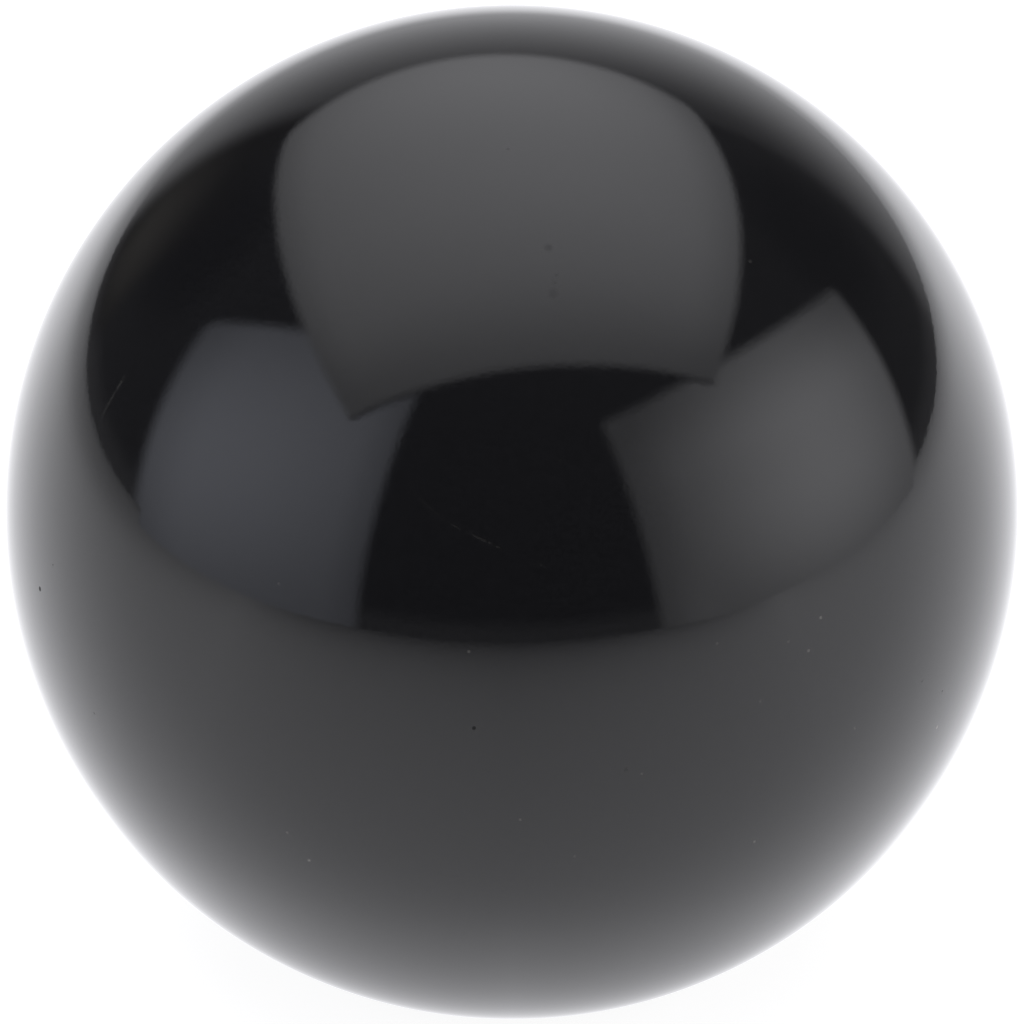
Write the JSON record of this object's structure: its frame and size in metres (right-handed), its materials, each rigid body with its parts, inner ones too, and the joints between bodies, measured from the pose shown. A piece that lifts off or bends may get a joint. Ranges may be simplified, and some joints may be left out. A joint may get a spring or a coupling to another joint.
{
  "type": "ball knob",
  "caption": "Glossy black moulded ball knob for the end of a lever or machine handle, with a flat base and a brass insert threaded to take the lever.",
  "frame": {"origin": "centre of the flat base, on the thread's axis, where the knob seats against its lever", "axes": "+Z along the thread, up from the flat base through the crown of the ball; X and Y lie in the base, and the knob is the same all round"},
  "size_m": [0.04, 0.04, 0.037],
  "materials": {
    "black_thermoset": "high gloss black, polished, with a few specks of dust, tiny pits and faint hairline scratches",
    "brass": "turned brass, faced across its mouth, with a cut thread inside and a straight knurl where the ball is moulded round it"
  },
  "bodies": {
    "root": {"ball_body": "black_thermoset", "threaded_insert": "brass"}
  },
  "joints": []
}
